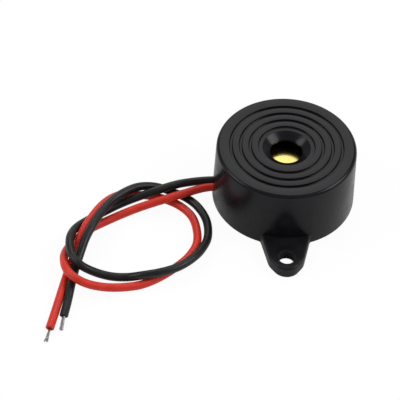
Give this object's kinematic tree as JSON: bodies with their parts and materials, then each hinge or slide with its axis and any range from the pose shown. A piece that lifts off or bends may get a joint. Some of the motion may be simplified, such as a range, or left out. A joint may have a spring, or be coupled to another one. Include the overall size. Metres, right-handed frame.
{
  "type": "piezo buzzer",
  "caption": "Round black sounder with concentric grooves and a funnel over a brass disc, screw ears for panel mounting and flexible insulated leads that end in tinned wire.",
  "frame": {"origin": "on the case axis, in the plane of the base", "axes": "+Z points out of the sounding face, the two ears point along +Y and -Y, and the leads leave the wall towards -X"},
  "size_m": [0.0654, 0.0675, 0.0145],
  "materials": {
    "case_black": "satin moulded plastic",
    "resin_black": "cast resin",
    "brass": "rolled",
    "ceramic": "sintered",
    "silver": "fired silver",
    "silicone": "cured glue",
    "solder": "bright solder",
    "laminate": "paper laminate",
    "copper": "copper foil",
    "epoxy_black": "moulded epoxy",
    "tinned_wire": "tinned",
    "resistor_lacquer": "lacquer",
    "diode_glass": "tinted glass",
    "can_sleeve": "shrunk sleeve",
    "ferrite": "sintered",
    "enamelled_copper": "enamelled wire",
    "pvc_black": "soft insulation",
    "pvc_red": "soft insulation",
    "pvc_blue": "soft insulation"
  },
  "bodies": {
    "root": {"housing": "case_black", "potting": "resin_black", "brass_plate": "brass", "ceramic_disc": "ceramic", "drive_electrode": "silver", "feedback_electrode": "silver", "disc_glue": "silicone", "disc_solder": "solder", "circuit_board": "laminate", "board_pads": "copper", "board_solder": "solder", "transistor": "epoxy_black", "transistor_legs": "tinned_wire", "resistors": "resistor_lacquer", "resistor_legs": "tinned_wire", "diode": "diode_glass", "diode_legs": "tinned_wire", "capacitor": "can_sleeve", "capacitor_legs": "tinned_wire", "choke_core": "ferrite", "choke_winding": "enamelled_copper", "choke_legs": "tinned_wire", "ground_jumper": "pvc_black", "drive_jumper": "pvc_red", "feedback_jumper": "pvc_blue", "red_lead": "pvc_red", "black_lead": "pvc_black", "red_core": "tinned_wire", "black_core": "tinned_wire", "red_tip": "tinned_wire", "black_tip": "tinned_wire"}
  },
  "joints": []
}
